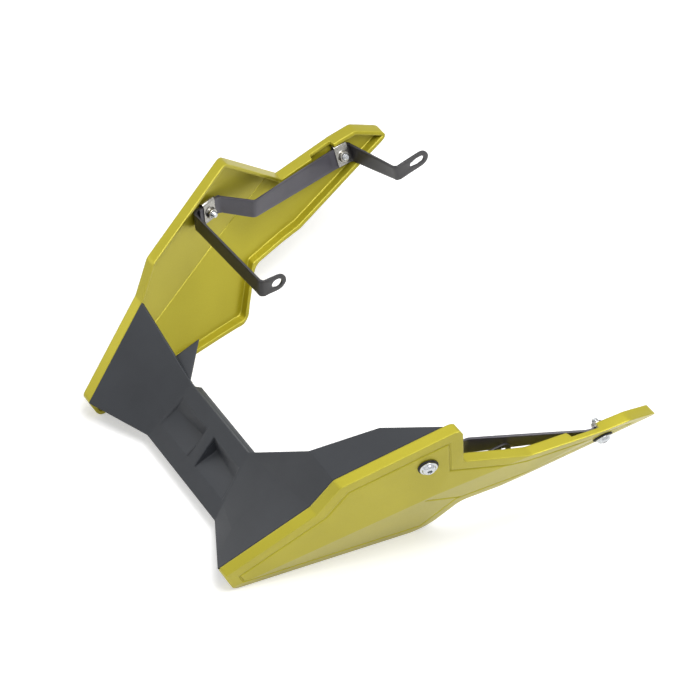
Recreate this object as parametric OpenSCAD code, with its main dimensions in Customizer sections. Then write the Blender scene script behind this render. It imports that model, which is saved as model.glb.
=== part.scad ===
// Two-sided belly fairing for a motorbike engine: two side panels, a centre
// panel that ties them at the nose, and the steel brackets that carry them.
// Millimetres. X across the bike with the left side at +X, -Y to the front, Z up.

/* [Side faces] */
// Half width of the upper face at the nose, at floor height
upper_half = 116.5; // [111:0.5:121]
// Outward sweep of the upper face toward the rear, degrees
upper_sweep = 17.2; // [15:0.2:19]
// Outward lean of the upper face, degrees
upper_lean = 4.8; // [3:0.2:7]
// Half width of the lower face at the nose, at floor height
lower_half = 116; // [112:0.5:120]
// Outward sweep of the lower face, degrees
lower_sweep = 10; // [8:0.5:12]
// Outward lean of the lower face, degrees
lower_lean = 20.6; // [18:0.2:23]
// Half width of the shoulder face behind the ridge, at the nose
shoulder_half = 123.6; // [121:0.2:126]
// Outward sweep of the shoulder face, degrees
shoulder_sweep = 14.6; // [13:0.2:16]
// Half width of the tail face, at the nose
tail_half = 131; // [128:0.5:134]
// Outward lean of the tail face, degrees
tail_lean = 26.6; // [24:0.2:29]

/* [Side outline] */
// Height of the nose corner
nose_z = 22; // [18:1:26]
// Brow corner, behind the nose
brow_y = 71; // [66:1:76]
// Height of the brow corner
brow_z = 84; // [80:1:88]
// Foot of the long top edge, behind the nose
step_y = 88; // [84:1:92]
// Height of the foot of the long top edge
step_z = 114; // [110:1:118]
// Peak of the side, behind the nose
peak_y = 181; // [176:1:186]
// Height of the peak
peak_z = 161; // [156:1:166]
// Valley between peak and tail, behind the nose
valley_y = 246; // [240:1:252]
// Height of the valley
valley_z = 101; // [97:1:105]
// Top corner of the tail, behind the nose
tail_y = 334; // [329:1:339]
// Height of the top corner of the tail
tail_z = 106; // [102:1:110]
// Tip of the tail, behind the nose
tip_y = 370; // [364:1:376]
// Height of the tip
tip_z = 91; // [88:1:94]
// Rear lower corner of the side, behind the nose
heel_y = 178; // [172:1:184]

/* [Moulding] */
// Wall of the side panels
wall = 3; // [2.5:0.1:3.5]
// Depth of the returned rim
rim_depth = 10; // [8:0.5:13]
// Thickness of the returned rim
rim_t = 3; // [2.4:0.1:3.6]
// Wall of the centre panel
centre_t = 3; // [2.5:0.1:3.5]
// Width of the style groove in the outer faces
groove_w = 1.6; // [1:0.2:2.4]
// Depth of the style groove
groove_d = 0.8; // [0.4:0.1:1.2]

/* [Centre panel] */
// Half width of the flat middle
waist_half = 50; // [46:1:54]
// Lower front edge of the middle, behind the nose
waist_y = 28; // [25:1:31]
// Height of the lower front edge of the middle
waist_z = 13; // [11:1:16]
// Rise of the middle along its slope
waist_run = 65; // [62:1:68]
// Slope of the middle, degrees
waist_slope = 52; // [49:1:55]
// Depth of the two scoops
scoop_depth = 13; // [9:1:15]
// Width of the two scoops
scoop_w = 52; // [46:1:54]
// Half width of the rib between the scoops
rib_half = 5; // [4:0.5:7]
// Reach of the left wing inboard of the side panel
wing_reach = 37; // [32:1:42]

/* [Steel straps] */
// Thickness of the strap steel
strap_t = 2; // [1.6:0.2:2.6]
// Width of the strap steel
strap_w = 18; // [16:0.5:20]
// Frame bolt hole in the front brackets
bolt_hole = 10; // [8.5:0.5:11]
// Width of the slot in the rear bracket
slot_w = 9; // [7.5:0.5:10]
// Length of the slot in the rear bracket
slot_len = 15; // [13:0.5:18]

/* [Fasteners] */
// Thread diameter of the panel screws
screw_d = 6; // [5:0.5:6]
// Flange diameter of the panel screws
flange_d = 15; // [13:0.5:16]
// Thickness of the rubber washers
washer_t = 1.2; // [0.8:0.2:1.6]
// Sheet thickness of the clip nuts
clip_t = 0.8; // [0.6:0.1:1]
// Clearance round screws
play = 0.3; // [0.2:0.1:0.5]

/* [Hidden] */
$fn = 48;
big = 600;
eps = 0.01;
seat = 0.15;
tail_sweep = 4.9;
shoulder_lean = 5.6;
// Each face is [half width at the nose on the floor, sweep, lean]
upper = [upper_half, upper_sweep, upper_lean];
lower = [lower_half, lower_sweep, lower_lean];
shoulder = [shoulder_half, shoulder_sweep, shoulder_lean];
tail = [tail_half, tail_sweep, tail_lean];
faces = [upper, lower, shoulder, tail];
function face_x(f, y, z) = f[0] + y * tan(f[1]) + z * tan(f[2]);
function outer_x(y, z) = min([for (f = faces) face_x(f, y, z)]);
// Turns that bring +X onto the outward normal of a face
function face_az(f) = -f[1];
function face_el(f) = atan2(tan(f[2]) * cos(f[1]), 1);
// Outline of a side seen from the left
notch_y = peak_y + 5;
notch_z = valley_z + 15;
heel_top = [heel_y + 21, 43];
lobe = [valley_y + 8, valley_z - 49];
front_run = [[0, nose_z], [brow_y, brow_z], [step_y, step_z], [peak_y, peak_z]];
back_run = [[valley_y, valley_z], [tail_y, tail_z], [tip_y, tip_z], lobe, heel_top,
            [heel_y, 0], [9, 0]];
left_outline = concat(front_run, [[notch_y, notch_z]], back_run);
right_outline = concat(front_run, back_run);
left_soft = [3, 6, 6, 5, 5, 8, 10, 2.5, 8, 12, 12, 8];
right_soft = [3, 6, 6, 6, 8, 10, 2.5, 8, 12, 12, 8];
// Screw places on the sides
front_screw = [157, 120];
rear_screw = [315, 86.5];
// Places where the centre panel is screwed to moulded bosses
joints = [[30, 33], [66, 66]];
boss_h = rim_depth - wall;
// Stack behind the panel wall: clip, bracket, link strap, clip
lay = 0.1;
clip_in = wall + lay;
bracket_in = clip_in + clip_t + lay;
link_in = bracket_in + strap_t + lay;
stack_in = link_in + strap_t + lay;
clip_reach = strap_w / 2 + 0.4;
// Tapping screws and the tabs they hold
tap_d = 3.4;
tap_head = 7;
tab_t = 2.5;
tab_r = 7.5;
// Straps in space
front_tab = [77, 172, 104];
near_in = 14.5;
near_tab = [outer_x(228, 97) - near_in, 228, 97];
rear_tab = [150, 367, 93.5];
knee_in = 23.9;
link_knee = [outer_x(203, 106) - knee_in, 203, 106];
tab_tilt = 14;
twist_steps = 5;
// The round end of a tab, a little fuller than the strap is wide
end_r = strap_w / 2 + 0.4;
mid_y = (rear_tab[1] + (slot_len - slot_w) / 2 * cos(tab_tilt) + end_r) / 2;

// Unit vector and rounding helpers for closed outlines, clockwise or not
function unit(v) = v / norm(v);
function turn(v) = [-v[1], v[0]];
function wrap(p, i) = p[(i + len(p)) % len(p)];
function side_area(p) = sum([for (i = [0 : len(p) - 1]) cross(p[i], wrap(p, i + 1))]);
function sum(v, i = 0) = i >= len(v) ? 0 : v[i] + sum(v, i + 1);
// Moves every edge of an outline inward by d
function inset(p, d) =
    let (s = sign(side_area(p)))
    [for (i = [0 : len(p) - 1])
        let (a = unit(p[i] - wrap(p, i - 1)),
             b = unit(wrap(p, i + 1) - p[i]),
             m = s * turn(a),
             n = s * turn(b))
        p[i] + d * (m + n) / (1 + m * n)];
// Rounds corner i of an outline by r[i]
function soft(p, r, n = 5) =
    [for (i = [0 : len(p) - 1])
        let (a = unit(wrap(p, i - 1) - p[i]),
             b = unit(wrap(p, i + 1) - p[i]),
             half = acos(a * b) / 2,
             m = unit(a + b),
             c = p[i] + m * r[i] / sin(half),
             t0 = p[i] + a * r[i] / tan(half) - c,
             t1 = p[i] + b * r[i] / tan(half) - c,
             swing = 180 - 2 * half,
             dir = sign(cross(t0, t1)))
        for (k = [0 : n])
            let (q = dir * swing * k / n)
            c + [t0[0] * cos(q) - t0[1] * sin(q), t0[0] * sin(q) + t0[1] * cos(q)]];

// Everything is drawn from the nose and then centred
module place() {
    translate([0, -mid_y, 0]) children();
}

module mirrored(side) {
    if (side > 0) children();
    else mirror([1, 0, 0]) children();
}

// Puts +X on the outward normal of face f at the point y, z of its outer surface
module on_face(f, y, z) {
    translate([face_x(f, y, z), y, z])
        rotate([0, face_el(f), face_az(f)]) children();
}

// The same at the outer surface, whichever face is outermost there
module on_side(f, y, z) {
    translate([outer_x(y, z), y, z])
        rotate([0, face_el(f), face_az(f)]) children();
}

// All space inboard of the faces, d below their surface
module under(d) {
    intersection_for (f = faces) {
        on_face(f, 0, 0) translate([-big - d, -big, -big]) cube([big, 2 * big, 2 * big]);
    }
}

// An outline of the side made into a bar across the bike
module across(p) {
    rotate([90, 0, 90]) linear_extrude(height = 300) polygon(p);
}

// Side panel: a wall that follows the four faces, with a returned rim all round
module side_panel(outline, radii) {
    edge = soft(outline, radii);
    inner = soft(inset(outline, rim_t), [for (r = radii) max(r - rim_t, 1)]);
    difference() {
        union() {
            difference() {
                intersection() {
                    across(edge);
                    under(0);
                }
                under(wall);
            }
            difference() {
                intersection() {
                    difference() {
                        across(edge);
                        across(inner);
                    }
                    under(0);
                }
                under(rim_depth);
            }
            for (j = joints)
                on_side(upper, j[0], j[1])
                    rotate([0, -90, 0])
                    translate([0, 0, wall - 0.5])
                    cylinder(d = 8, h = boss_h + 0.5 - seat);
        }
        screw_hole(upper, front_screw);
        screw_hole(tail, rear_screw);
        for (j = joints)
            on_side(upper, j[0], j[1])
                rotate([0, -90, 0])
                translate([0, 0, wall])
                cylinder(d = tap_d + 0.1, h = boss_h + 1);
        rim_notch();
        style_groove();
    }
}

module screw_hole(f, at) {
    on_side(f, at[0], at[1]) rotate([0, -90, 0]) translate([0, 0, -5])
        cylinder(d = screw_d + 2 * play, h = wall + 10);
}

// Break in the top rim of the tail
module rim_notch() {
    on_side(tail, (valley_y + tail_y) / 2 + 6, (valley_z + tail_z) / 2)
        translate([-rim_depth - 5, -13, -rim_t - 1])
        cube([rim_depth + 5 - wall - 2, 26, rim_t + 8]);
}

// Shallow crease in the lower face, from the ridge to the heel
module style_groove() {
    a = [155, 74];
    b = [214, 44];
    n = turn(unit(b - a)) * groove_w / 2;
    difference() {
        across([a - n, b - n, b + n, a + n]);
        under(groove_d);
    }
}

// Moulded sheet through a grid of points, its thickness along the depth direction
module sheet(rows, depth) {
    r = len(rows);
    c = len(rows[0]);
    m = r * c;
    skin = [for (row = rows) for (q = row) q];
    pts = concat(skin, [for (q = skin) q + down * depth]);
    ring = concat([for (i = [0 : r - 2]) i * c],
                  [for (j = [0 : c - 2]) (r - 1) * c + j],
                  [for (i = [r - 1 : -1 : 1]) i * c + c - 1],
                  [for (j = [c - 1 : -1 : 1]) j]);
    upper_side = [for (i = [0 : r - 2]) for (j = [0 : c - 2]) let (a = i * c + j)
        for (t = [[a, a + c + 1, a + 1], [a, a + c, a + c + 1]]) t];
    lower_side = [for (f = upper_side) [f[2] + m, f[1] + m, f[0] + m]];
    edge = [for (k = [0 : len(ring) - 1]) let (a = ring[k], b = ring[(k + 1) % len(ring)])
        for (t = [[a, b + m, b], [a, a + m, b + m]]) t];
    polyhedron(points = pts, faces = concat(upper_side, lower_side, edge));
}

// Grid over the patch between four corners, for u and v from 0 to 1
function between(q, u, v) = (1 - u) * (1 - v) * q[0] + u * (1 - v) * q[1] + u * v * q[2] + (1 - u) * v * q[3];
function grid(q, us, vs) = [for (v = vs) [for (u = us) between(q, u, v)]];
function flipped(p) = [-p[0], p[1], p[2]];

// Depth direction of the centre panel, square to the nose run of the sides
down = [0, unit([brow_z - nose_z, -brow_y])[0], unit([brow_z - nose_z, -brow_y])[1]];
waist_low = [waist_y, waist_z];
waist_high = [waist_y + waist_run * cos(waist_slope), waist_z + waist_run * sin(waist_slope)];

// Local frame of the middle: X across, Y up its slope, Z out of its face
module on_waist() {
    translate([0, waist_y, waist_z]) rotate([waist_slope, 0, 0]) children();
}

// A point of the front run, on the outer face and then a depth inboard of it
function run_end(p, depth, sink = 0) =
    [outer_x(p[0], p[1]) - depth * norm([1, tan(upper_sweep), tan(upper_lean)]), p[0], p[1]] + down * sink;
// The same at the inner end of the rim
function rim_end(p) = run_end(p, rim_depth + 2 * seat);
function along(a, b, t) = a + (b - a) * t;

// Tongue that runs on behind the rim from patch q, where the run goes from a to b
module tongue(q, a, b, v0, v1) {
    low = 1.08 * rim_t + seat;
    ea = along(a, b, v0 + 0.04);
    eb = along(a, b, v1 - 0.04);
    sink = down * (centre_t - 1);
    sheet([for (v = [v0, (v0 + v1) / 2, v1]) [for (u = [0.86, 0.985]) between(q, u, v) + sink]],
          low + 3 - centre_t);
    sheet([[run_end(ea, rim_depth + 2.5, low), run_end(ea, wall + 2 * seat, low)],
           [run_end(eb, rim_depth + 2.5, low), run_end(eb, wall + 2 * seat, low)]], 1.6);
}

// Tab behind a boss of the side, hung from the underside of the cheek
module joint_tab(j) {
    hang = [j[0] - front_run[0][0], j[1] - front_run[0][1]] * [down[1], down[2]];
    on_side(upper, j[0], j[1]) rotate([0, -90, 0]) rotate([0, 0, atan2(down[1], down[2])])
        translate([0, 0, rim_depth + seat]) {
            translate([1 - hang, -tab_r, 0]) cube([hang - 1, 2 * tab_r, tab_t]);
            cylinder(r = tab_r, h = tab_t);
        }
}

// Angle shaped ear behind the upper edge
module ear() {
    translate([waist_half + 14, waist_high[0] - 1, waist_high[1] - 24])
        rotate([-90, 0, 0]) mirror([0, 1, 0]) linear_extrude(height = 31)
        polygon([[0, 0], [centre_t, 0], [centre_t, 20], [16, 20], [16, 20 + centre_t], [0, 20 + centre_t]]);
}

module centre_panel() {
    nose = front_run[0];
    brow = front_run[1];
    step = front_run[2];
    peak = front_run[3];
    high = [waist_half, waist_high[0], waist_high[1]];
    fold = [outer_x(step[0], step[1]) - rim_depth - wing_reach, step[0], step[1]];
    far = along(step, peak, 0.53);
    tip = along(step, peak, 0.9);
    cheek = [[waist_half, waist_low[0], waist_low[1]], rim_end(nose), rim_end(brow), high];
    wing = [fold, rim_end(step), rim_end(tip), [outer_x(far[0], far[1]) - wing_reach, far[0], far[1]]];
    us = [0, 0.25, 0.5, 0.75, 1];
    left = grid(cheek, us, us);
    difference() {
        union() {
            sheet([for (row = left) concat([for (k = [4 : -1 : 0]) flipped(row[k])], row)], centre_t);
            on_waist() translate([1 - waist_half, waist_run - centre_t - 0.5, -11])
                cube([2 * waist_half - 2, centre_t, 10]);
            for (s = [0, 1]) mirror([s, 0, 0]) {
                tongue(cheek, nose, brow, 0.12, 0.96);
                for (j = joints) joint_tab(j);
                ear();
            }
            // Extra wing of the left side, up beside the long top edge
            sheet([for (row = [[between(cheek, 0.04, 0.98), between(cheek, 0.99, 0.98)],
                               [fold, rim_end(step)], [wing[3], wing[2]]])
                      [for (u = us) along(row[0], row[1], u) + down * 0.3]], centre_t - 0.6);
            tongue(wing, step, tip, 0.08, 0.9);
            scoops(centre_t);
        }
        scoops(0);
        for (s = [0, 1]) mirror([s, 0, 0]) for (j = joints)
            on_side(upper, j[0], j[1]) rotate([0, -90, 0]) cylinder(d = tap_d + 2 * play, h = 20);
    }
}

// Two wedge scoops side by side, g is the wall added round them
module scoops(g) {
    for (s = [0, 1]) mirror([s, 0, 0]) on_waist() hull() {
        translate([rib_half - g, 16 - g, g > 0 ? -1 : -eps])
            cube([scoop_w + 2 * g, 35 + 2 * g, g > 0 ? 0.2 : 1]);
        translate([rib_half + 1 - g / 2, 37, -scoop_depth - g]) cube([scoop_w - 18 + g, 3, 1]);
    }
}

// Directions of a face as vectors: outward, rearward along it, and up along it
function face_out(f) = unit([1, -tan(f[1]), -tan(f[2])]);
function face_back(f) = [sin(f[1]), cos(f[1]), 0];
function face_up(f) = cross(face_out(f), face_back(f));
// Middle of a strap that lies on the inner side of a face, y along the face
function on_inner(f, at, y, level) =
    [outer_x(at[0], at[1]), at[0], at[1]] - face_out(f) * (level + strap_t / 2) + face_back(f) * y;

// Strap steel swept through corners, with the direction of its width at each.
// A run that twists is given more stations, so both its skins stay a strap apart.
module ribbon(corners, widths, w) {
    final = len(corners) - 1;
    steps = [for (i = [0 : final - 1]) widths[i] * widths[i + 1] > 0.9999 ? 1 : twist_steps];
    function at(list, i, k) = along(list[i], list[i + 1], k / steps[i]);
    path = concat([for (i = [0 : final - 1]) for (k = [0 : steps[i] - 1]) at(corners, i, k)],
                  [corners[final]]);
    ups = concat([for (i = [0 : final - 1]) for (k = [0 : steps[i] - 1]) unit(at(widths, i, k))],
                 [widths[final]]);
    last = len(path) - 1;
    function run(i) = unit(path[min(i + 1, last)] - path[min(i, last - 1)]);
    function flat(i, k) = unit(cross(run(k), ups[i]));
    function mitre(i) = let (a = flat(i, max(i - 1, 0)), b = flat(i, min(i, last - 1))) (a + b) / (1 + a * b);
    pts = [for (i = [0 : last]) for (c = [[-1, -1], [1, -1], [1, 1], [-1, 1]])
        path[i] + mitre(i) * c[0] * strap_t / 2 + ups[i] * c[1] * w / 2];
    skin = [for (i = [0 : last - 1]) for (j = [0 : 3])
        let (a = 4 * i + j, b = 4 * i + (j + 1) % 4)
        for (t = j < 2 ? [[a, b, b + 4], [a, b + 4, a + 4]] : [[a, b, a + 4], [b, b + 4, a + 4]]) t];
    ends = [[2, 1, 0], [3, 2, 0], [4 * last, 4 * last + 1, 4 * last + 2],
            [4 * last, 4 * last + 2, 4 * last + 3]];
    polyhedron(points = pts, faces = concat(skin, ends));
}

// Hole for the panel screw, square to a face
module strap_hole(f, at) {
    on_side(f, at[0], at[1]) rotate([0, -90, 0]) cylinder(d = screw_d + 2 * play, h = 30);
}

// Cuts the round end and the bolt hole of a tab that is normal to X
module tab_cut(p, tilt, slot, hole) {
    translate(p) rotate([tilt, 0, 0]) rotate([0, 90, 0]) translate([0, 0, -5]) {
        difference() {
            translate([-strap_w, slot / 2, 0]) cube([2 * strap_w, strap_w, 10]);
            translate([0, slot / 2, -1]) cylinder(r = end_r, h = 12);
        }
        for (e = [-1, 1]) translate([0, e * slot / 2, 0]) cylinder(d = hole, h = 10);
        if (slot > 0)
            translate([-hole / 2, -slot / 2, 0]) cube([hole, slot, 10]);
    }
}

// Right front bracket: reaches inboard to the engine
module long_front_bracket() {
    up = face_up(upper);
    difference() {
        ribbon([on_inner(upper, front_screw, 11, bracket_in), on_inner(upper, front_screw, -16, bracket_in),
                front_tab - [0, 15, 0], front_tab + [0, end_r + 1, 0]],
               [up, up, [0, 0, 1], [0, 0, 1]], strap_w);
        strap_hole(upper, front_screw);
        tab_cut(front_tab, 0, 0, bolt_hole);
    }
}

// Left front bracket: stays beside the panel and ends below the notch
module short_front_bracket() {
    up = face_up(upper);
    difference() {
        ribbon([on_inner(upper, front_screw, -11, bracket_in), on_inner(upper, front_screw, 12, bracket_in),
                on_inner(upper, front_screw, 22, bracket_in + 0.2) - 19 * up, near_tab - [0, 16, 0], near_tab + [0, end_r + 1, 0]],
               [up, up, [0, 0, 1], [0, 0, 1], [0, 0, 1]], strap_w);
        strap_hole(upper, front_screw);
        tab_cut(near_tab, 0, 0, bolt_hole);
    }
}

// Right rear bracket: from the tail inboard, then back to a slotted tab
module rear_bracket() {
    up = face_up(tail);
    rise = [0, cos(tab_tilt), sin(tab_tilt)];
    stand = [0, -sin(tab_tilt), cos(tab_tilt)];
    difference() {
        ribbon([on_inner(tail, rear_screw, -11, bracket_in), on_inner(tail, rear_screw, 10, bracket_in),
                rear_tab - 22 * rise, rear_tab + (slot_len / 2 + end_r) * rise],
               [up, up, stand, stand], strap_w);
        strap_hole(tail, rear_screw);
        tab_cut(rear_tab, tab_tilt, slot_len - slot_w, slot_w);
    }
}

// Link strap between the two screws of a side
module link_strap() {
    fore = face_up(upper);
    aft = face_up(tail);
    difference() {
        ribbon([on_inner(upper, front_screw, -11, link_in), on_inner(upper, front_screw, 13, link_in),
                link_knee, on_inner(tail, rear_screw, -13, link_in), on_inner(tail, rear_screw, 7, link_in)],
               [fore, fore, unit([0.1, 0.1, 1]), aft, aft], strap_w);
        strap_hole(upper, front_screw);
        strap_hole(tail, rear_screw);
    }
}

// Sheet steel clip nut: two leaves, the bend over the strap edge, the threaded barrel
module clip_nut(f, at) {
    depth = stack_in - clip_in + 2 * clip_t;
    on_side(f, at[0], at[1]) {
        difference() {
            union() {
                for (x = [-clip_in - clip_t, -stack_in - 2 * clip_t + clip_t])
                    translate([x, -7, -8]) cube([clip_t, 14, 8 + clip_reach]);
                translate([-stack_in - clip_t - 4, 0, 0]) rotate([0, 90, 0])
                    cylinder(d = 10, h = 4 + eps);
                translate([-(clip_in + stack_in + clip_t) / 2, 7, clip_reach]) rotate([90, 0, 0])
                    difference() {
                        cylinder(d = stack_in + clip_t - clip_in, h = 14);
                        translate([0, 0, -1]) cylinder(d = stack_in - clip_in - clip_t, h = 16);
                        translate([-20, -40, -1]) cube([40, 40, 16]);
                    }
            }
            rotate([0, -90, 0]) cylinder(d = screw_d + 2 * seat, h = 60);
        }
    }
}

// Button screw with a flange, its shank through the whole stack
module screw(f, at) {
    on_side(f, at[0], at[1]) rotate([0, 90, 0]) translate([0, 0, lay]) {
        translate([0, 0, washer_t]) cylinder(d = flange_d, h = 1.4);
        translate([0, 0, washer_t + 1.4 - eps]) difference() {
            cylinder(d1 = 11.5, d2 = 8, h = 3);
            translate([0, 0, 1]) cylinder(d = 4.6, h = 4, $fn = 6);
        }
        translate([0, 0, -stack_in - clip_t - 7]) cylinder(d = screw_d, h = stack_in + clip_t + 7 + washer_t + eps);
    }
}

module washer(f, at) {
    on_side(f, at[0], at[1]) rotate([0, 90, 0]) translate([0, 0, lay / 2]) difference() {
        cylinder(d = flange_d + 2.4, h = washer_t);
        translate([0, 0, -1]) cylinder(d = screw_d + 2 * play, h = washer_t + 2);
    }
}

// Small tapping screws from the centre panel's tabs into the bosses
module joint_screws() {
    for (j = joints)
        on_side(upper, j[0], j[1]) rotate([0, -90, 0]) {
            translate([0, 0, rim_depth + seat + tab_t]) cylinder(d = tap_head, h = 1.8);
            translate([0, 0, wall + 1.2]) cylinder(d = tap_d, h = rim_depth + seat + tab_t - wall - 1);
        }
}

module left_side_panel() {
    color("#a9b43a") place() side_panel(left_outline, left_soft);
}
module right_side_panel() {
    color("#a9b43a") place() mirrored(-1) side_panel(right_outline, right_soft);
}
module left_front_bracket() { color("#222222") place() short_front_bracket(); }
module right_front_bracket() { color("#222222") place() mirrored(-1) long_front_bracket(); }
module right_rear_bracket() { color("#222222") place() mirrored(-1) rear_bracket(); }
module left_link_strap() { color("#303030") place() link_strap(); }
module right_link_strap() { color("#303030") place() mirrored(-1) link_strap(); }
module left_front_clip_nut() { color("#b9bcc0") place() clip_nut(upper, front_screw); }
module right_front_clip_nut() { color("#b9bcc0") place() mirrored(-1) clip_nut(upper, front_screw); }
module left_rear_clip_nut() { color("#b9bcc0") place() clip_nut(tail, rear_screw); }
module right_rear_clip_nut() { color("#b9bcc0") place() mirrored(-1) clip_nut(tail, rear_screw); }
module left_front_screw() { color("#d0d2d4") place() screw(upper, front_screw); }
module right_front_screw() { color("#d0d2d4") place() mirrored(-1) screw(upper, front_screw); }
module left_rear_screw() { color("#d0d2d4") place() screw(tail, rear_screw); }
module right_rear_screw() { color("#d0d2d4") place() mirrored(-1) screw(tail, rear_screw); }
module left_front_washer() { color("#161616") place() washer(upper, front_screw); }
module right_front_washer() { color("#161616") place() mirrored(-1) washer(upper, front_screw); }
module left_rear_washer() { color("#161616") place() washer(tail, rear_screw); }
module right_rear_washer() { color("#161616") place() mirrored(-1) washer(tail, rear_screw); }
module left_joint_screws() { color("#8b8d90") place() joint_screws(); }
module right_joint_screws() { color("#8b8d90") place() mirrored(-1) joint_screws(); }
module the_centre_panel() { color("#2b2e33") place() centre_panel(); }

left_side_panel();
right_side_panel();
the_centre_panel();  // centre_panel
left_front_bracket();
right_front_bracket();
right_rear_bracket();
left_link_strap();
right_link_strap();
left_front_clip_nut();
right_front_clip_nut();
left_rear_clip_nut();
right_rear_clip_nut();
left_front_screw();
right_front_screw();
left_rear_screw();
right_rear_screw();
left_front_washer();
right_front_washer();
left_rear_washer();
right_rear_washer();
left_joint_screws();
right_joint_screws();
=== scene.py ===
"""Belly fairing of a motorbike engine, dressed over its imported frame.

Metres, in the frame's own coordinates: the left side panel is at +X, the nose at -Y, Z is up.
Pieces are drawn in mm, with Y counted back from the nose, and brought to the frame at the end.
"""

import math

import bmesh
import bpy
from mathutils import Matrix, Vector


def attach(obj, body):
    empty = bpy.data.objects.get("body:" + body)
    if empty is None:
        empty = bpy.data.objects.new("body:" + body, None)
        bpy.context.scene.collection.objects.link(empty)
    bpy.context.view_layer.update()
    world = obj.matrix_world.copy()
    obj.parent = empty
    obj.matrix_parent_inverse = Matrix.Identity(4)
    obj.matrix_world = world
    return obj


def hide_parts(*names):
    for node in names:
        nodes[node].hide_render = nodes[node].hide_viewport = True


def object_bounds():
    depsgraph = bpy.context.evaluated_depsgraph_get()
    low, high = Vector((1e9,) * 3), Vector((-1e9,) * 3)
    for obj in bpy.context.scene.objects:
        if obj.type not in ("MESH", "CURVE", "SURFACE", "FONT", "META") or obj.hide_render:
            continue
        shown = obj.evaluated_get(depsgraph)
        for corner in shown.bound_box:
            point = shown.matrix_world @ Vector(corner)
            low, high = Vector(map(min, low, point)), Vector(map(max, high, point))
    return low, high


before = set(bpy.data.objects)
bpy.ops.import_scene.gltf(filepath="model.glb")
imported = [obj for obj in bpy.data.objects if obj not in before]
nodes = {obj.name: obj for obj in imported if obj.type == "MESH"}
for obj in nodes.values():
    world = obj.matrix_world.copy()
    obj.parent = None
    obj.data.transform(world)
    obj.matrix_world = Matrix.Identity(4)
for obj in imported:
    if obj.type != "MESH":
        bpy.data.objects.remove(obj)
cad_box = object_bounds()
scene = bpy.context.scene
MM = 0.001


# Colours and material nodes

def linear(code):
    """A colour written as sRGB hex, turned linear."""
    parts = [int(code[i:i + 2], 16) / 255 for i in (1, 3, 5)]
    return [p / 12.92 if p <= 0.04045 else ((p + 0.055) / 1.055) ** 2.4 for p in parts] + [1.0]


def add(owner, kind, inputs=None, **settings):
    """A new node with its settings, and its inputs set to values or linked to outputs."""
    node = owner.node_tree.nodes.new("ShaderNode" + kind)
    for name, value in settings.items():
        setattr(node, name, value)
    for socket, value in (inputs or {}).items():
        if isinstance(value, bpy.types.NodeSocket):
            owner.node_tree.links.new(value, node.inputs[socket])
        else:
            node.inputs[socket].default_value = value
    return node


def blank(name):
    """An empty node material."""
    material = bpy.data.materials.new(name)
    material.use_nodes = True
    material.node_tree.nodes.clear()
    return material


def per_mm(size):
    """The scale of a texture whose cells are size millimetres across."""
    return 1.0 / (size * MM)


def blend_colours(ramp, low, dark, high, pale):
    """Sets a ramp to go from one colour at low to the other at high."""
    for stop, place, colour in zip(ramp.color_ramp.elements, (low, high), (dark, pale)):
        stop.position = place
        stop.color = linear(colour)


def rounded_edges_and_painted_highlight(m, radius, begins, full, amount):
    """Edges rounded by radius mm, and a painted highlight on them, paler, from none at begins to amount at
    full.

    begins and full are how far the rounded and the true normal agree, where 1 is a flat place.
    """
    rounded = add(m, "Bevel", {"Radius": radius * MM}, samples=6)
    true_normal = add(m, "NewGeometry")
    agree = add(m, "VectorMath", {0: rounded.outputs["Normal"], 1: true_normal.outputs["Normal"]},
                operation="DOT_PRODUCT")
    painted_edge_highlight = add(m, "MapRange", {"Value": agree.outputs["Value"], "From Min": begins, "From Max": full,
                               "To Min": 0.0, "To Max": amount})
    return rounded.outputs["Normal"], painted_edge_highlight.outputs["Result"]


def seen_directly(owner):
    """One for what the camera and the gloss on the metal see, and zero for all other light."""
    path = add(owner, "LightPath")
    return add(owner, "Math", {0: path.outputs["Is Camera Ray"], 1: path.outputs["Is Glossy Ray"]},
               operation="MAXIMUM").outputs["Value"]


# Metallic base coat and satin lacquer sprayed on moulded ABS. The colour drifts a little with
# the film's thickness, the flake sparkles under the lacquer, and the lacquer has a fine orange peel.
def sprayed_abs():
    m = blank("sprayed_abs_yellow_green")
    here = add(m, "TexCoord").outputs["Object"]
    drift = add(m, "TexNoise", {"Vector": here, "Scale": per_mm(90), "Detail": 2.0, "Roughness": 0.5})
    tone = add(m, "ValToRGB", {"Fac": drift.outputs["Fac"]})
    blend_colours(tone, 0.32, "#a3991c", 0.68, "#b0a627")
    # The real flake is about 0.05 mm, drawn at 0.7 mm so that it shows at all
    flake = add(m, "TexVoronoi", {"Vector": here, "Scale": per_mm(0.7)}, feature="F1")
    glint = add(m, "MapRange", {"Value": flake.outputs["Distance"], "From Min": 0.0, "From Max": 0.6,
                                "To Min": 1.05, "To Max": 0.96})
    base = add(m, "MixRGB", {"Fac": 1.0, "Color1": tone.outputs["Color"],
                             "Color2": glint.outputs["Result"]}, blend_type="MULTIPLY")
    # Painted highlight: the edges are painted paler, as if the light catches them
    rounded, painted_edge_highlight = rounded_edges_and_painted_highlight(m, 1.6, 0.995, 0.90, 0.35)
    highlit_edges = add(m, "MixRGB", {"Fac": painted_edge_highlight, "Color1": base.outputs["Color"], "Color2": linear("#d3cb52")})
    peel = add(m, "TexNoise", {"Vector": here, "Scale": per_mm(2.2), "Detail": 2.0})
    waves = add(m, "Bump", {"Strength": 0.05, "Distance": 0.05 * MM, "Height": peel.outputs["Fac"],
                            "Normal": rounded})
    matt = add(m, "MapRange", {"Value": peel.outputs["Fac"], "To Min": 0.34, "To Max": 0.44})
    paint = add(m, "BsdfPrincipled", {
        "Base Color": highlit_edges.outputs["Color"], "Metallic": 0.5, "Roughness": matt.outputs["Result"],
        "Normal": waves.outputs["Normal"], "IOR": 1.5, "Coat Weight": 0.12, "Coat Roughness": 0.22,
        "Coat Normal": waves.outputs["Normal"]})
    add(m, "OutputMaterial", {"Surface": paint.outputs["BSDF"]})
    return m
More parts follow.
